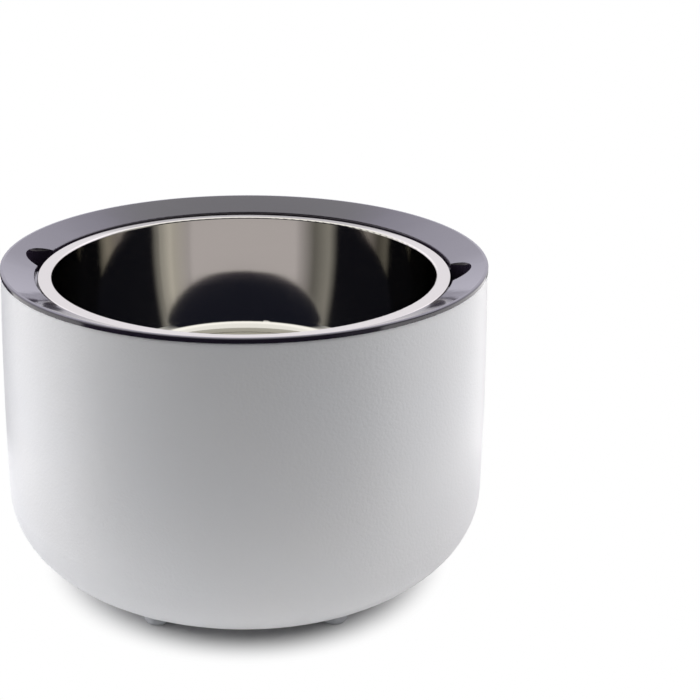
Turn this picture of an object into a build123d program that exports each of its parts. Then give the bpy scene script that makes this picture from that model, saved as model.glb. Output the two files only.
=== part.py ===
from build123d import *
import os
from math import asin, cos, degrees, radians, sin, sqrt, tan

os.makedirs("parts", exist_ok=True)

# Frame: origin on the floor under the middle of the base, +Z up, X through the two finger scoops.
# Every length is in millimetres and every angle in degrees.

# How far a cutting shape runs past the face that it opens
past = 5.0

# Steel bowl: one deep-drawn sheet with a flat rim whose edge is turned down
bowl_rim_radius = 108.0
bowl_flange_width = 6.6
bowl_edge_drop = 2.2
bowl_sheet = 0.8
bowl_depth = 67.0
bowl_wall_curve = 185.0
bowl_wall_slope = 3.5
bowl_corner = 10.0
bowl_mouth_round = 1.0
bowl_edge_round = 0.6

# Liner: dished rim, recess, ledge and well in one moulding
liner_wall = 2.5
rim_height = 172.0
rim_width = 17.2
rim_drop = 6.5
rim_land = 1.6
rim_band = 2.3
rim_edge_round = 0.7
recess_clearance = 1.3
recess_depth = 3.2
recess_edge_round = 0.5
groove_inset = 2.4
groove_width = 0.8
groove_depth = 0.5
ledge_slope = 12.0
ledge_edge_round = 0.8
well_clearance = 1.3
well_floor_gap = 10.0
well_draft = 2.0
well_corner = 12.0
seat_gap = 0.3

# Finger scoops, one at each end of the X axis
scoop_count = 2
scoop_radius = 15.5
scoop_depth = 28.0

# Liner's locating ring, which drops inside the shell's top edge
locator_height = 6.0
locator_clearance = 0.2

# Outer shell: barrel wall, round lower corner, crowned underside
shell_wall = 3.0
shell_reveal = 0.4
belly_swell = 3.3
belly_height = 48.5
corner_radius = 36.0
corner_sweep = 64.0
underside_height = 6.0

# Feet, with a screw above each one
foot_count = 6
foot_start = 7.6
foot_inset = 39.4
foot_radius = 7.0
foot_stand = 7.5
foot_socket_depth = 1.0
foot_socket_clearance = 0.15
foot_round = 3.2
foot_pad_wall = 1.0

# Screws that hold the liner down, and the posts that they pull
screw_shank_radius = 2.0
screw_head_radius = 4.0
screw_head_height = 3.0
screw_hole_clearance = 0.2
screw_thread_clearance = 0.05
screw_head_clearance = 0.4
liner_screw_length = 16.0
screw_seat_height = 13.0
boss_floor = 4.0
boss_wall = 2.2
post_radius = 4.8
post_pilot_spare = 3.0

# Ballast disc, cast, on three standoffs
ballast_thickness = 14.0
ballast_clearance = 3.0
ballast_bore_radius = 20.0
ballast_draft = 3.0
ballast_edge_round = 1.5
ballast_screw_count = 3
ballast_counterbore_depth = 4.0
standoff_height = 8.0
standoff_radius = 6.0
ballast_screw_bite = 8.0
ballast_pilot_spare = 0.5

# Sizes that follow from those above
bowl_body_radius = bowl_rim_radius - bowl_flange_width
recess_radius = bowl_rim_radius + recess_clearance
rim_radius = recess_radius + rim_width
well_radius = bowl_body_radius + well_clearance
rim_inner_height = rim_height - rim_drop
ledge_height = rim_inner_height - recess_depth
well_edge_height = ledge_height - (recess_radius - well_radius) * tan(radians(ledge_slope))
seat_height = ledge_height - recess_clearance * tan(radians(ledge_slope))
bowl_rim_height = seat_height + seat_gap + bowl_edge_drop
bowl_base_height = bowl_rim_height - bowl_depth
well_floor_height = bowl_base_height - well_floor_gap
well_floor_radius = well_radius - (well_edge_height - well_floor_height) * tan(radians(well_draft))
shell_top = rim_height - rim_band
shell_top_radius = rim_radius - shell_reveal
belly_radius = shell_top_radius + belly_swell
foot_ring_radius = belly_radius - foot_inset
shell_floor = underside_height + shell_wall
boss_top = screw_seat_height + boss_floor
boss_radius = screw_head_radius + screw_head_clearance + boss_wall
foot_pad_radius = foot_radius + foot_socket_clearance + foot_pad_wall
foot_angles = [foot_start + 360 / foot_count * k for k in range(foot_count)]
standoff_start = foot_start + 180 / foot_count
standoff_angles = [standoff_start + 360 / ballast_screw_count * k for k in range(ballast_screw_count)]
ballast_base = shell_floor + standoff_height
ballast_top = ballast_base + ballast_thickness
ballast_radius = foot_ring_radius - boss_radius - ballast_clearance
ballast_screw_ring = (ballast_bore_radius + ballast_radius) / 2


def turned(section):
    """The solid that a half section in the X-Z plane makes about the Z axis."""
    return revolve(Plane.XZ * section, Axis.Z)


def outline(*points):
    """The face inside straight lines through points of radius and height."""
    return make_face(Polyline(*points, close=True))


def rounded(section, radius, *points):
    """The section with its corners at the given points rounded."""
    corners = [section.vertices().sort_by_distance(Vector(*point))[0] for point in points]
    return fillet(corners, radius)


def post(x, radius, low, high):
    """A round post or hole at distance x from the axis, between two heights."""
    return Pos(x, 0, low) * Cylinder(radius, high - low, align=(Align.CENTER, Align.CENTER, Align.MIN))


def around(solid, angles):
    """Copies of a solid, turned to each angle about the Z axis."""
    return [Rot(0, 0, angle) * solid for angle in angles]


# Steel bowl
def bowl_body_section(inset, top):
    """Half section of the drawn body: a gently curved wall, a round corner and a flat base."""
    start = radians(bowl_wall_slope)
    centre_x = bowl_body_radius - bowl_wall_curve * cos(start)
    centre_z = bowl_rim_height - bowl_sheet + bowl_wall_curve * sin(start)
    base = bowl_base_height + inset
    curve = bowl_wall_curve - inset
    high = -degrees(asin((centre_z - top) / curve))
    low = -degrees(asin((centre_z - base) / curve))
    wall = CenterArc((centre_x, centre_z), curve, high, low - high)
    rest = Polyline(wall @ 1, (0, base), (0, top), wall @ 0)
    section = make_face([wall, rest])
    return rounded(section, bowl_corner - inset, wall @ 1)


def steel_bowl():
    """Drawn bowl: the body, a flat rim, and the rim's turned-down edge."""
    body = bowl_body_section(0, bowl_rim_height - bowl_sheet / 2)
    edge_foot = bowl_rim_height - bowl_edge_drop
    flange_foot = bowl_rim_height - bowl_sheet
    edge_inside = bowl_rim_radius - bowl_sheet
    flange = outline(
        (0, bowl_rim_height),
        (bowl_rim_radius, bowl_rim_height),
        (bowl_rim_radius, edge_foot),
        (edge_inside, edge_foot),
        (edge_inside, flange_foot),
        (0, flange_foot),
    )
    hollow = bowl_body_section(bowl_sheet, bowl_rim_height)
    section = body + flange - hollow
    mouth = section.vertices().filter_by_position(Axis.Y, bowl_rim_height, bowl_rim_height).sort_by(Axis.X)[0]
    section = fillet(mouth, bowl_mouth_round)
    section = rounded(section, bowl_edge_round, (bowl_rim_radius, bowl_rim_height))
    return turned(section)


# Liner
def rim_face(radius):
    """Height of the dished rim's top face at a radius."""
    fall = rim_drop * (rim_radius - rim_land - radius) / (rim_width - rim_land)
    return rim_height - fall


def ledge_face(radius):
    """Height of the ledge's sloping top face at a radius."""
    return ledge_height - (recess_radius - radius) * tan(radians(ledge_slope))


def liner_space():
    """Half section of everything above the liner's top face, down into the well."""
    groove_outer = recess_radius - groove_inset
    groove_inner = groove_outer - groove_width
    land_end = (rim_radius - rim_land, rim_height)
    recess_edge = (recess_radius, rim_inner_height)
    well_edge = (well_radius, well_edge_height)
    well_corner_point = (well_floor_radius, well_floor_height)
    space = outline(
        (rim_radius + past, rim_height),
        land_end,
        recess_edge,
        (recess_radius, ledge_height),
        (groove_outer, ledge_face(groove_outer)),
        (groove_outer, ledge_face(groove_outer) - groove_depth),
        (groove_inner, ledge_face(groove_inner) - groove_depth),
        (groove_inner, ledge_face(groove_inner)),
        well_edge,
        well_corner_point,
        (0, well_floor_height),
        (0, rim_height + past),
        (rim_radius + past, rim_height + past),
    )
    space = rounded(space, recess_edge_round, recess_edge)
    space = rounded(space, ledge_edge_round, well_edge)
    return rounded(space, well_corner, well_corner_point)


def liner_underside():
    """Half section of the liner with its top left square and its well left full."""
    locator_outer = shell_top_radius - shell_wall - locator_clearance
    locator_inner = locator_outer - liner_wall
    recess_outer = recess_radius + liner_wall
    slope_drop = liner_wall * sqrt(1 + (rim_drop / (rim_width - rim_land)) ** 2)
    well_outer = well_radius + liner_wall
    floor_corner = (well_floor_radius + liner_wall, well_floor_height - liner_wall)
    section = outline(
        (rim_radius, rim_height),
        (rim_radius, shell_top),
        (locator_outer, shell_top),
        (locator_outer, shell_top - locator_height),
        (locator_inner, shell_top - locator_height),
        (locator_inner, rim_face(locator_inner) - slope_drop),
        (recess_outer, rim_face(recess_outer) - slope_drop),
        (recess_outer, ledge_height - liner_wall),
        (well_outer, well_edge_height - liner_wall),
        floor_corner,
        (0, well_floor_height - liner_wall),
        (0, rim_height),
    )
    section = rounded(section, well_corner + liner_wall, floor_corner)
    return rounded(section, rim_edge_round, (rim_radius, rim_height))


def scoop(radius):
    """Upright finger hole with a round foot, centred on the well's edge."""
    foot = ledge_height - scoop_depth + scoop_radius
    shaft = post(well_radius, radius, foot, rim_height + past)
    return shaft + Pos(well_radius, 0, foot) * Sphere(radius)


def inner_liner():
    """Moulded liner: the dished rim, the well, two finger scoops and the screw posts."""
    scoop_angles = [360 / scoop_count * k for k in range(scoop_count)]
    body = turned(liner_underside())
    body += around(scoop(scoop_radius + liner_wall), scoop_angles)
    body += around(post(foot_ring_radius, post_radius, boss_top, well_floor_height), foot_angles)
    body -= turned(liner_space())
    body -= around(scoop(scoop_radius), scoop_angles)
    pilot_top = screw_seat_height + liner_screw_length + post_pilot_spare
    pilot = post(foot_ring_radius, screw_shank_radius + screw_thread_clearance, boss_top, pilot_top)
    return body - around(pilot, foot_angles)


# Outer shell
def shell_form(inset, top):
    """Half section of the shell's form, moved inward: barrel wall, corner arc and crown."""
    rise = shell_top - belly_height
    wall_curve = (rise**2 + belly_swell**2) / (2 * belly_swell)
    corner_x = belly_radius - corner_radius
    crown_drop = belly_height - corner_radius * sin(radians(corner_sweep)) - underside_height
    crown_curve = crown_drop / (1 - sin(radians(corner_sweep)))
    crown_x = corner_x + (corner_radius - crown_curve) * cos(radians(corner_sweep))
    crown_z = underside_height + crown_curve
    reach = degrees(asin((top - belly_height) / (wall_curve - inset)))
    wall = CenterArc((belly_radius - wall_curve, belly_height), wall_curve - inset, reach, -reach)
    corner = CenterArc((corner_x, belly_height), corner_radius - inset, 0, -corner_sweep)
    crown = CenterArc((crown_x, crown_z), crown_curve - inset, -corner_sweep, corner_sweep - 90)
    rest = Polyline(crown @ 1, (0, underside_height + inset), (0, top), wall @ 0)
    return make_face([wall, corner, crown, rest])


def outer_shell():
    """Moulded shell with screw bosses, ballast standoffs and foot sockets."""
    form = turned(shell_form(0, shell_top))
    hollow = turned(shell_form(shell_wall, shell_top + past))
    bosses = around(post(foot_ring_radius, boss_radius, underside_height, boss_top), foot_angles)
    standoffs = around(post(ballast_screw_ring, standoff_radius, underside_height, ballast_base), standoff_angles)
    inside = form & (Part() + bosses + standoffs)
    pads = around(post(foot_ring_radius, foot_pad_radius, foot_stand, screw_seat_height), foot_angles)
    body = form - hollow + inside + pads

    socket_top = foot_stand + foot_socket_depth
    socket = post(foot_ring_radius, foot_radius + foot_socket_clearance, 0, socket_top)
    bore = post(foot_ring_radius, screw_head_radius + screw_head_clearance, 0, screw_seat_height)
    hole = post(foot_ring_radius, screw_shank_radius + screw_hole_clearance, 0, boss_top + past)
    body -= around(socket + bore + hole, foot_angles)
    pilot_foot = ballast_base - ballast_screw_bite - ballast_pilot_spare
    pilot_radius = screw_shank_radius + screw_thread_clearance
    pilot = post(ballast_screw_ring, pilot_radius, pilot_foot, ballast_base + past)
    return body - around(pilot, standoff_angles)


# Ballast
def ballast_disc():
    """Cast disc with a cored middle, drafted sides and a counterbored hole for each screw."""
    taper = ballast_thickness * tan(radians(ballast_draft))
    outer_edge = (ballast_radius, ballast_base)
    upper_edge = (ballast_radius - taper, ballast_top)
    section = outline(
        (ballast_bore_radius, ballast_base),
        outer_edge,
        upper_edge,
        (ballast_bore_radius + taper, ballast_top),
    )
    section = rounded(section, ballast_edge_round, outer_edge, upper_edge)
    body = turned(section)
    hole = post(ballast_screw_ring, screw_shank_radius + screw_head_clearance, 0, ballast_top + past)
    counterbore_foot = ballast_top - ballast_counterbore_depth
    counterbore_radius = screw_head_radius + screw_head_clearance
    counterbore = post(ballast_screw_ring, counterbore_radius, counterbore_foot, ballast_top + past)
    return body - around(hole + counterbore, standoff_angles)


# Fasteners and feet
def pan_screw(length):
    """Pan-head screw, point up, with its head's bearing face at height zero."""
    head = Pos(0, 0, -screw_head_height) * Cylinder(
        screw_head_radius,
        screw_head_height,
        align=(Align.CENTER, Align.CENTER, Align.MIN),
    )
    head = fillet(head.edges().group_by(Axis.Z)[0], screw_head_height / 3)
    shank = Cylinder(screw_shank_radius, length, align=(Align.CENTER, Align.CENTER, Align.MIN))
    shank = chamfer(shank.edges().group_by(Axis.Z)[-1], screw_shank_radius / 2)
    return head + shank


def liner_screws():
    """One screw above each foot, up through the shell into a liner post."""
    screw = Pos(foot_ring_radius, 0, screw_seat_height) * pan_screw(liner_screw_length)
    return Compound(around(screw, foot_angles))


def ballast_screws():
    """Screws down through the ballast into the shell's standoffs."""
    length = ballast_thickness - ballast_counterbore_depth + ballast_screw_bite
    seat = ballast_top - ballast_counterbore_depth
    screw = Pos(ballast_screw_ring, 0, seat) * Rot(180, 0, 0) * pan_screw(length)
    return Compound(around(screw, standoff_angles))


def bumper_foot(angle):
    """Soft round bumper, bonded into its socket, with a flat contact spot on the floor."""
    body = post(foot_ring_radius, foot_radius, 0, foot_stand + foot_socket_depth)
    body = fillet(body.edges().group_by(Axis.Z)[0], foot_round)
    return Rot(0, 0, angle) * body


nodes = {
    "outer_shell": outer_shell(),
    "inner_liner": inner_liner(),
    "steel_bowl": steel_bowl(),
    "ballast_disc": ballast_disc(),
    "liner_screws": liner_screws(),
    "ballast_screws": ballast_screws(),
}
for number, angle in enumerate(foot_angles, start=1):
    nodes[f"bumper_foot_{number}"] = bumper_foot(angle)

for name, piece in nodes.items():
    export_step(piece, f"parts/{name}.step")
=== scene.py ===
import math

import bpy
from mathutils import Matrix, Vector


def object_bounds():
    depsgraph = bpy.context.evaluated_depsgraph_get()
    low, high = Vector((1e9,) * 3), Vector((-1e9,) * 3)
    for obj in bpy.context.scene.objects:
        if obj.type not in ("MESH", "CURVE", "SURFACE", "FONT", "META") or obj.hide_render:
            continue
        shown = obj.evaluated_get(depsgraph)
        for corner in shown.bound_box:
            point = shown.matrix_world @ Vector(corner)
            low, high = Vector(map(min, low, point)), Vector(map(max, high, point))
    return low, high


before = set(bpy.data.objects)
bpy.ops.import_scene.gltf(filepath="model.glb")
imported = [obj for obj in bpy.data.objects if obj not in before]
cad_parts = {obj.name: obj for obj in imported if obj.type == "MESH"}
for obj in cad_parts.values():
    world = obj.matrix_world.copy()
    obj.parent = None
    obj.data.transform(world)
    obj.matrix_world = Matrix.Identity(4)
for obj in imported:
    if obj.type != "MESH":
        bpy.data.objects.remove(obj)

cad_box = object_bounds()


# OUTER SHELL
# One white ABS moulding: a tall wall that swells a little, a round lower corner and a crowned
# underside. The liner's screws come up through it, and its sockets take the feet.
MM = 0.001


def linear(code):
    """Linear colour, with a full alpha, of an sRGB hex value such as "E6E8EA"."""
    parts = [int(code[i:i + 2], 16) / 255 for i in (0, 2, 4)]
    return [p / 12.92 if p <= 0.04045 else ((p + 0.055) / 1.055) ** 2.4 for p in parts] + [1.0]


def add(tree, kind, settings=None, links=None):
    """A new node. Numbers and names with a capital are its sockets, other names its settings."""
    made = tree.nodes.new(kind)
    for name, value in (settings or {}).items():
        if isinstance(name, int) or name[0].isupper():
            made.inputs[name].default_value = value
        else:
            setattr(made, name, value)
    for name, source in (links or {}).items():
        tree.links.new(source, made.inputs[name])
    return made


def finish(name, sockets):
    """A new material, its node tree and its one shader, which has the given sockets set."""
    material = bpy.data.materials.new(name)
    material.use_nodes = True
    tree = material.node_tree
    tree.nodes.clear()
    shader = add(tree, "ShaderNodeBsdfPrincipled", sockets)
    add(tree, "ShaderNodeOutputMaterial", links={"Surface": shader.outputs["BSDF"]})
    return material, tree, shader


def dress(node_name, material):
    """Gives a CAD node this material in every slot."""
    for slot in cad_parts[node_name].material_slots:
        slot.material = material


# Moulded ABS off a fine spark-eroded tool: a soft satin sheen, and a white that turns very
# slightly cool and warm over the wall as the resin flowed.
COOL_WHITE = "E6E8EA"
WARM_WHITE = "EAE9E7"
RESIN_CLOUD = 90 * MM
SPARK_GRAIN = 1.4 * MM      # real grain is near 0.1 mm, drawn coarser so that it shows at all
satin_abs, tree, shader = finish("satin_white_abs", {"IOR": 1.54, "Roughness": 0.34})
where = add(tree, "ShaderNodeTexCoord").outputs["Object"]
cloud = add(tree, "ShaderNodeTexNoise", {"Scale": 1 / RESIN_CLOUD, "Detail": 2.0},
            {"Vector": where})
# In a colour mix, sockets 6 and 7 are the two colours, and output 2 is the result.
tint = add(tree, "ShaderNodeMix",
           {"data_type": "RGBA", 6: linear(COOL_WHITE), 7: linear(WARM_WHITE)},
           {"Factor": cloud.outputs["Fac"]})
tree.links.new(tint.outputs[2], shader.inputs["Base Color"])
grain = add(tree, "ShaderNodeTexNoise", {"Scale": 1 / SPARK_GRAIN, "Detail": 3.0},
            {"Vector": where})
sheen = add(tree, "ShaderNodeMapRange", {"To Min": 0.27, "To Max": 0.41},
            {"Value": grain.outputs["Fac"]})
tree.links.new(sheen.outputs["Result"], shader.inputs["Roughness"])
relief = add(tree, "ShaderNodeBump", {"Strength": 0.6, "Distance": 0.25 * MM},
             {"Height": grain.outputs["Fac"]})
tree.links.new(relief.outputs["Normal"], shader.inputs["Normal"])
dress("outer_shell", satin_abs)


# BALLAST DISC
# A sand-cast iron disc, screwed to the shell's standoffs and closed in under the liner. It makes
# the base too heavy to tip or slide, and is dipped in black paint against rust.

# Cast iron under one coat of paint: a dull black that keeps the grain of the sand mould.
PAINT_BLACK = "2B2B2D"
SAND_GRAIN = 1.2 * MM
cast_iron, tree, shader = finish(
    "black_painted_cast_iron", {"Base Color": linear(PAINT_BLACK), "Roughness": 0.55})
where = add(tree, "ShaderNodeTexCoord").outputs["Object"]
sand = add(tree, "ShaderNodeTexNoise", {"Scale": 1 / SAND_GRAIN, "Detail": 4.0},
           {"Vector": where})
relief = add(tree, "ShaderNodeBump", {"Strength": 0.5, "Distance": 0.2 * MM},
             {"Height": sand.outputs["Fac"]})
tree.links.new(relief.outputs["Normal"], shader.inputs["Normal"])
dress("ballast_disc", cast_iron)


# INNER LINER
# A glossy black ABS moulding that drops into the shell's top edge: dished rim, shallow recess
# for the bowl's rim, ledge with a drain groove, well, and a finger scoop at each end.

# Black ABS off a polished tool: near black, mirror-like at a low angle, with the faint slow
# ripple that thick gloss mouldings show as they shrink.
PLUM_BLACK = "28222E"
SHRINK_RIPPLE = 14 * MM
gloss_abs, tree, shader = finish(
    "gloss_black_abs", {"Base Color": linear(PLUM_BLACK), "IOR": 1.54, "Roughness": 0.07})
where = add(tree, "ShaderNodeTexCoord").outputs["Object"]
ripple = add(tree, "ShaderNodeTexNoise", {"Scale": 1 / SHRINK_RIPPLE, "Detail": 1.0},
             {"Vector": where})
haze = add(tree, "ShaderNodeMapRange", {"To Min": 0.05, "To Max": 0.10},
           {"Value": ripple.outputs["Fac"]})
tree.links.new(haze.outputs["Result"], shader.inputs["Roughness"])
relief = add(tree, "ShaderNodeBump", {"Strength": 0.5, "Distance": 0.12 * MM},
             {"Height": ripple.outputs["Fac"]})
tree.links.new(relief.outputs["Normal"], shader.inputs["Normal"])
dress("inner_liner", gloss_abs)


# SCREWS
# Pan-head screws: three that hold the ballast, and six that pull the liner down onto the
# shell. All are bright zinc-plated steel.

# Zinc plating on turned steel: a pale bluish metal with a cloudy, slightly dull shine.
ZINC_GREY = "B9BEC4"
PLATING_CLOUD = 2 * MM
zinc_steel, tree, shader = finish(
    "zinc_plated_steel", {"Base Color": linear(ZINC_GREY), "Metallic": 1.0, "Roughness": 0.3})
where = add(tree, "ShaderNodeTexCoord").outputs["Object"]
cloud = add(tree, "ShaderNodeTexNoise", {"Scale": 1 / PLATING_CLOUD, "Detail": 3.0},
            {"Vector": where})
haze = add(tree, "ShaderNodeMapRange", {"To Min": 0.24, "To Max": 0.4},
           {"Value": cloud.outputs["Fac"]})
tree.links.new(haze.outputs["Result"], shader.inputs["Roughness"])
for name in ("liner_screws", "ballast_screws"):
    dress(name, zinc_steel)


# BUMPER FEET
# Six soft round bumpers in the shell's sockets, one under each liner screw. They keep the
# heavy base from sliding or marking the floor.

# Cast clear polyurethane: glossy like stiff jelly, and cloudy enough to look milky.
GEL_WHITE = "F1F3F5"
GEL_CLOUD = 4 * MM
FOOT_COUNT = 6
clear_gel, tree, shader = finish(
    "clear_polyurethane",
    {"Base Color": linear(GEL_WHITE), "IOR": 1.49, "Roughness": 0.2, "Transmission Weight": 0.25})
where = add(tree, "ShaderNodeTexCoord").outputs["Object"]
cloud = add(tree, "ShaderNodeTexNoise", {"Scale": 1 / GEL_CLOUD, "Detail": 2.0},
            {"Vector": where})
haze = add(tree, "ShaderNodeMapRange", {"To Min": 0.12, "To Max": 0.3},
           {"Value": cloud.outputs["Fac"]})
tree.links.new(haze.outputs["Result"], shader.inputs["Roughness"])
for number in range(1, FOOT_COUNT + 1):
    dress(f"bumper_foot_{number}", clear_gel)


# STEEL BOWL
# Deep-drawn stainless steel, mirror polished inside and out, with a flat rim whose edge is
# turned down. It hangs in the recess by that edge and lifts straight out.

# Stainless steel polished on a spindle: a clear mirror with hair-fine rings round the axis,
# which stretch each highlight a little. Its colour dips slightly where it is seen edge on.
STEEL_GREY = "B7B4AD"
EDGE_ON_GREY = "DEDFDC"
POLISH_RING = 0.9 * MM      # real lines are under 0.1 mm apart, drawn coarser so that they show
mirror_steel, tree, shader = finish(
    "polished_stainless_steel",
    {"Base Color": linear(STEEL_GREY), "Metallic": 1.0, "Roughness": 0.06,
     "Specular Tint": linear(EDGE_ON_GREY)})
where = add(tree, "ShaderNodeTexCoord").outputs["Object"]
apart = add(tree, "ShaderNodeSeparateXYZ", links={"Vector": where})
flat = add(tree, "ShaderNodeCombineXYZ", links={"X": apart.outputs["X"], "Y": apart.outputs["Y"]})
radius = add(tree, "ShaderNodeVectorMath", {"operation": "LENGTH"}, {0: flat.outputs["Vector"]})
along = add(tree, "ShaderNodeCombineXYZ",
            links={"X": radius.outputs["Value"], "Z": apart.outputs["Z"]})
rings = add(tree, "ShaderNodeTexNoise", {"Scale": 1 / POLISH_RING, "Detail": 2.0},
            {"Vector": along.outputs["Vector"]})
haze = add(tree, "ShaderNodeMapRange", {"To Min": 0.045, "To Max": 0.085},
           {"Value": rings.outputs["Fac"]})
tree.links.new(haze.outputs["Result"], shader.inputs["Roughness"])
relief = add(tree, "ShaderNodeBump", {"Strength": 0.15, "Distance": 0.015 * MM},
             {"Height": rings.outputs["Fac"]})
tree.links.new(relief.outputs["Normal"], shader.inputs["Normal"])
dress("steel_bowl", mirror_steel)


# CAMERA
# It stands a little above the object and in front of it, with the two scoops turned a few
# degrees from square on.
SHOT_TURN = math.radians(7.657)
SHOT_PITCH = math.radians(18.585)
SHOT_ROLL = math.radians(-0.299)
SHOT_DISTANCE = 593.28 * MM
SHOT_ABOVE_RIM = 178.90 * MM
SENSOR_WIDTH = 36.0         # in mm, as the lens is
FOCAL_PIXELS = 1174.70
CENTRE_PIXEL = (244.14, 290.0)
IMAGE_PIXELS = 700

camera = bpy.data.objects.new("camera", bpy.data.cameras.new("camera"))
bpy.context.collection.objects.link(camera)
camera.data.sensor_width = SENSOR_WIDTH
camera.data.lens = FOCAL_PIXELS / IMAGE_PIXELS * SENSOR_WIDTH
camera.data.shift_x = 0.5 - CENTRE_PIXEL[0] / IMAGE_PIXELS
camera.data.shift_y = CENTRE_PIXEL[1] / IMAGE_PIXELS - 0.5
camera.data.clip_start = 0.01
camera.data.clip_end = 50.0
rim_top = cad_box[1][2]
spot = Vector((SHOT_DISTANCE * math.sin(SHOT_TURN),
               -SHOT_DISTANCE * math.cos(SHOT_TURN),
               rim_top + SHOT_ABOVE_RIM))
camera.matrix_world = (
    Matrix.Translation(spot)
    @ Matrix.Rotation(SHOT_TURN, 4, "Z")
    @ Matrix.Rotation(math.pi / 2 - SHOT_PITCH, 4, "X")
    @ Matrix.Rotation(SHOT_ROLL, 4, "Z")
)
bpy.context.scene.camera = camera


# FLOOR
# A plain white table top. To the camera, and through the clear feet, it turns as white as the
# backdrop a little way out. Light meets a round table and polished steel mirrors a smaller one,
# with the studio's paper below and beyond them.
FLOOR_REACH = 4.0
FLOOR_SIDES = 64
FLOOR_DROP = 0.1 * MM       # just under the feet, so that no two surfaces share a plane
TABLE_RADIUS = 320 * MM
MIRRORED_RADIUS = 235 * MM
TABLE_WHITE = "F2F2F2"
SHADED_WHITE = "CCCCCC"     # for the camera, so that the shadow under the object is deep enough
WHITE_START = 89 * MM
WHITE_END = 116 * MM

mesh = bpy.data.meshes.new("floor")
angles = [math.tau * k / FLOOR_SIDES for k in range(FLOOR_SIDES)]
ring = [(FLOOR_REACH * math.cos(a), FLOOR_REACH * math.sin(a), -FLOOR_DROP) for a in angles]
mesh.from_pydata(ring, [], [list(range(FLOOR_SIDES))])
floor = bpy.data.objects.new("floor", mesh)
bpy.context.collection.objects.link(floor)

table_white = bpy.data.materials.new("white_table_top")
table_white.use_nodes = True
tree = table_white.node_tree
tree.nodes.clear()
where = add(tree, "ShaderNodeTexCoord").outputs["Object"]
away = add(tree, "ShaderNodeVectorMath", {"operation": "LENGTH"}, {0: where})
ray = add(tree, "ShaderNodeLightPath")
paint = add(tree, "ShaderNodeBsdfDiffuse", {"Color": linear(TABLE_WHITE)})
shade = add(tree, "ShaderNodeBsdfDiffuse", {"Color": linear(SHADED_WHITE)})
white = add(tree, "ShaderNodeEmission", {"Color": (1, 1, 1, 1), "Strength": 1.0})
clear = add(tree, "ShaderNodeBsdfTransparent")
fade = add(tree, "ShaderNodeMapRange",
           {"interpolation_type": "SMOOTHSTEP", "From Min": WHITE_START, "From Max": WHITE_END},
           {"Value": away.outputs["Value"]})
seen = add(tree, "ShaderNodeMixShader",
           links={0: fade.outputs["Result"], 1: shade.outputs["BSDF"],
                  2: white.outputs["Emission"]})
edge = add(tree, "ShaderNodeMath",
           {"operation": "MULTIPLY_ADD", 1: MIRRORED_RADIUS - TABLE_RADIUS, 2: TABLE_RADIUS},
           {0: ray.outputs["Is Glossy Ray"]})
beyond = add(tree, "ShaderNodeMath", {"operation": "GREATER_THAN"},
             {0: away.outputs["Value"], 1: edge.outputs["Value"]})
lit = add(tree, "ShaderNodeMixShader",
          links={0: beyond.outputs["Value"], 1: paint.outputs["BSDF"], 2: clear.outputs["BSDF"]})
direct = add(tree, "ShaderNodeMath", {"operation": "MAXIMUM"},
             {0: ray.outputs["Is Camera Ray"], 1: ray.outputs["Is Transmission Ray"]})
whole = add(tree, "ShaderNodeMixShader",
            links={0: direct.outputs["Value"], 1: lit.outputs["Shader"],
                   2: seen.outputs["Shader"]})
add(tree, "ShaderNodeOutputMaterial", links={"Surface": whole.outputs["Shader"]})
mesh.materials.append(table_white)


# STUDIO
# White cards at both sides, white paper below, a backdrop that brightens upward, a soft light
# overhead and two lamps. The room behind the camera is dark, and polished steel mirrors it as a
# dark middle with a round lower end. To the camera the whole backdrop is white.
LIGHT = 2.5                         # the studio's strength, as light and in mirrors
DARK = (0.006, 0.0065, 0.011)       # the room behind the camera
GREY = (0.08, 0.08, 0.085)          # a grey curtain at that room's right
CARD = (0.71, 0.70, 0.70)           # white card and paper
SIDE = (0.34, 0.34, 0.34)           # the left card's dim edge, and the dimmer right card
GAP = (0.03, 0.03, 0.035)           # open floor behind the object, where no paper lies
BLACK = (0, 0, 0)
FULL = (1, 1, 1)
CALM = (0.10, 0.10, 0.10)           # the share of its light that the backdrop keeps
LILAC = (0.935, 0.91, 1.03)         # the backdrop's faint tint

world = bpy.data.worlds.new("studio")
bpy.context.scene.world = world
world.use_nodes = True
tree = world.node_tree
tree.nodes.clear()
way = add(tree, "ShaderNodeTexCoord").outputs["Generated"]
turned = add(tree, "ShaderNodeMapping", {"Rotation": (0, 0, -SHOT_TURN)}, {"Vector": way})
apart = add(tree, "ShaderNodeSeparateXYZ", links={"Vector": turned.outputs["Vector"]})
climb = apart.outputs["Z"]          # the sine of the elevation: -1 straight down, 1 straight up
front = add(tree, "ShaderNodeMath", {"operation": "MULTIPLY", 1: -1.0}, {0: apart.outputs["Y"]})
bearing = add(tree, "ShaderNodeMath", {"operation": "ARCTAN2"},
              {0: apart.outputs["X"], 1: front.outputs["Value"]})
share = add(tree, "ShaderNodeMapRange", {"From Min": -math.pi, "From Max": math.pi},
            {"Value": bearing.outputs["Value"]})


def gradient(value, stops):
    """Colours, or levels of grey, blended between the given places on a value from 0 to 1."""
    made = add(tree, "ShaderNodeValToRGB", links={"Fac": value})
    points = made.color_ramp.elements
    while len(points) < len(stops):
        points.new(0.5)
    for point, (place, colour) in zip(points, stops):
        point.position = place
        point.color = (*colour, 1) if isinstance(colour, tuple) else (colour, colour, colour, 1)
    return made.outputs["Color"]


def bands(stops):
    """Colours by bearing in degrees: -180 is behind, -90 left, 0 the camera and 90 right."""
    places = [((angle + 180) / 360, colour) for angle, colour in stops]
    return gradient(share.outputs["Result"], places)


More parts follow.
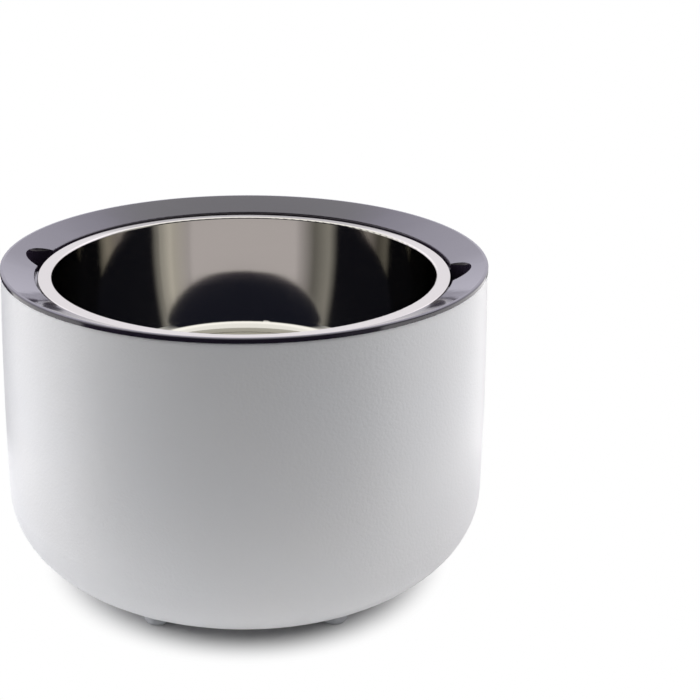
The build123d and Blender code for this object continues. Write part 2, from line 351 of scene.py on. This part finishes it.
# Below the horizon: the dark room and its curtain, which end in a half ellipse, with paper round
# them and under them.
DARK_MIDDLE = -7            # bearing, in degrees
DARK_HALF_WIDTH = 71        # in degrees
DARK_NARROWS = -0.47        # climb
DARK_ENDS = -0.75           # climb
SOFT_EDGE = 0.03
PAPER_CLOSES = (-0.78, -0.72)
aside = add(tree, "ShaderNodeMath",
            {"operation": "MULTIPLY_ADD", 1: 1 / math.radians(DARK_HALF_WIDTH),
             2: -DARK_MIDDLE / DARK_HALF_WIDTH},
            {0: bearing.outputs["Value"]})
drop = add(tree, "ShaderNodeMapRange",
           {"From Min": -1.0, "From Max": DARK_NARROWS,
            "To Min": (DARK_NARROWS + 1.0) / (DARK_NARROWS - DARK_ENDS), "To Max": 0.0},
           {"Value": climb})
pair = add(tree, "ShaderNodeCombineXYZ",
           links={"X": aside.outputs["Value"], "Y": drop.outputs["Result"]})
out = add(tree, "ShaderNodeVectorMath", {"operation": "LENGTH"}, {0: pair.outputs["Vector"]})
past = add(tree, "ShaderNodeMapRange",
           {"interpolation_type": "SMOOTHSTEP", "From Min": 1.0 - SOFT_EDGE,
            "From Max": 1.0 + SOFT_EDGE},
           {"Value": out.outputs["Value"]})
dark_room = bands([(-180, DARK), (38, DARK), (46, GREY), (180, GREY)])
papered = bands([(-180, GAP), (-136, GAP), (-132, CARD), (150, CARD), (156, GAP), (180, GAP)])
closing = add(tree, "ShaderNodeMapRange",
              {"interpolation_type": "SMOOTHSTEP", "From Min": PAPER_CLOSES[0],
               "From Max": PAPER_CLOSES[1]},
              {"Value": climb})
paper = add(tree, "ShaderNodeMix", {"data_type": "RGBA", 6: (*CARD, 1)},
            {0: closing.outputs["Result"], 7: papered})
below = add(tree, "ShaderNodeMix", {"data_type": "RGBA"},
            {0: past.outputs["Result"], 6: dark_room, 7: paper.outputs[2]})

# Above it: a card at each side, and behind the object the backdrop.
HORIZON = (-0.10, -0.04)
cards = bands([(-180, BLACK), (-110, BLACK), (-86, CARD), (-70, SIDE), (-60, DARK),
               (58, DARK), (70, SIDE), (110, BLACK), (180, BLACK)])
behind = bands([(-180, LILAC), (-115, LILAC), (-90, BLACK),
                (90, BLACK), (115, LILAC), (180, LILAC)])
rising = gradient(climb, [(0.0, 0.46), (0.16, 0.62), (0.26, 0.72), (0.36, 0.73), (0.46, 0.87),
                          (0.60, 1.04), (0.72, 1.0), (0.82, 0.80)])
backdrop = add(tree, "ShaderNodeMix", {"data_type": "RGBA", "blend_type": "MULTIPLY", 0: 1.0},
               {6: behind, 7: rising})
walls = add(tree, "ShaderNodeMix", {"data_type": "RGBA", "blend_type": "ADD", 0: 1.0},
            {6: cards, 7: backdrop.outputs[2]})
level = add(tree, "ShaderNodeMapRange",
            {"interpolation_type": "SMOOTHSTEP", "From Min": HORIZON[0], "From Max": HORIZON[1]},
            {"Value": climb})
lower = add(tree, "ShaderNodeMix", {"data_type": "RGBA"},
            {0: level.outputs["Result"], 6: below.outputs[2], 7: walls.outputs[2]})

# Overhead: one wide soft light.
CEILING = (0.70, 0.82)
overhead = gradient(climb, [(0.88, 0.80), (0.94, 0.66)])
high = add(tree, "ShaderNodeMapRange",
           {"interpolation_type": "SMOOTHSTEP", "From Min": CEILING[0], "From Max": CEILING[1]},
           {"Value": climb})
room = add(tree, "ShaderNodeMix", {"data_type": "RGBA"},
           {0: high.outputs["Result"], 6: lower.outputs[2], 7: overhead})

# As light, the backdrop is calmed so that the object's white back doesn't clip, and the light
# overhead is stronger. Mirrors show the room as it stands.
STRONGER = (0.80, 0.90)
STRONGER_BY = 1.05          # added to LIGHT
ray = add(tree, "ShaderNodeLightPath")
spill = bands([(-180, CALM), (-136, CALM), (-106, FULL), (106, FULL), (136, CALM), (180, CALM)])
shining = add(tree, "ShaderNodeMix", {"data_type": "RGBA", "blend_type": "MULTIPLY"},
              {0: ray.outputs["Is Diffuse Ray"], 6: room.outputs[2], 7: spill})
extra = add(tree, "ShaderNodeMapRange",
            {"interpolation_type": "SMOOTHSTEP", "From Min": STRONGER[0],
             "From Max": STRONGER[1], "To Max": STRONGER_BY},
            {"Value": climb})
power = add(tree, "ShaderNodeMath", {"operation": "MULTIPLY_ADD", 2: LIGHT},
            {0: ray.outputs["Is Diffuse Ray"], 1: extra.outputs["Result"]})
light = add(tree, "ShaderNodeBackground",
            links={"Color": shining.outputs[2], "Strength": power.outputs["Value"]})
plain = add(tree, "ShaderNodeBackground", {"Color": (1, 1, 1, 1), "Strength": 1.0})
direct = add(tree, "ShaderNodeMath", {"operation": "MAXIMUM"},
             {0: ray.outputs["Is Camera Ray"], 1: ray.outputs["Is Transmission Ray"]})
either = add(tree, "ShaderNodeMixShader",
             links={0: direct.outputs["Value"], 1: light.outputs["Background"],
                    2: plain.outputs["Background"]})
add(tree, "ShaderNodeOutputWorld", links={"Surface": either.outputs["Shader"]})

LAMP_DISTANCE = 900 * MM
LAMP_HEIGHT = 300 * MM
LAMP_SIDE = 500 * MM


def soft_light(name, bearing_degrees, watts, colour):
    """A square lamp that faces the middle of the base and doesn't show in mirrors."""
    lamp = bpy.data.lights.new(name, "AREA")
    lamp.size = LAMP_SIDE
    lamp.energy = watts
    lamp.color = linear(colour)[:3]
    holder = bpy.data.objects.new(name, lamp)
    bpy.context.collection.objects.link(holder)
    turn = math.radians(bearing_degrees) + SHOT_TURN
    holder.location = (LAMP_DISTANCE * math.sin(turn), -LAMP_DISTANCE * math.cos(turn), LAMP_HEIGHT)
    aim = Vector((0, 0, rim_top / 2)) - holder.location
    holder.rotation_euler = aim.to_track_quat("-Z", "Y").to_euler()
    holder.visible_glossy = False


soft_light("left_lamp", -98, 1.7, "F8FAFF")
soft_light("right_lamp", 138, 2.2, "FFF9F2")

bpy.context.scene.view_settings.view_transform = "Standard"
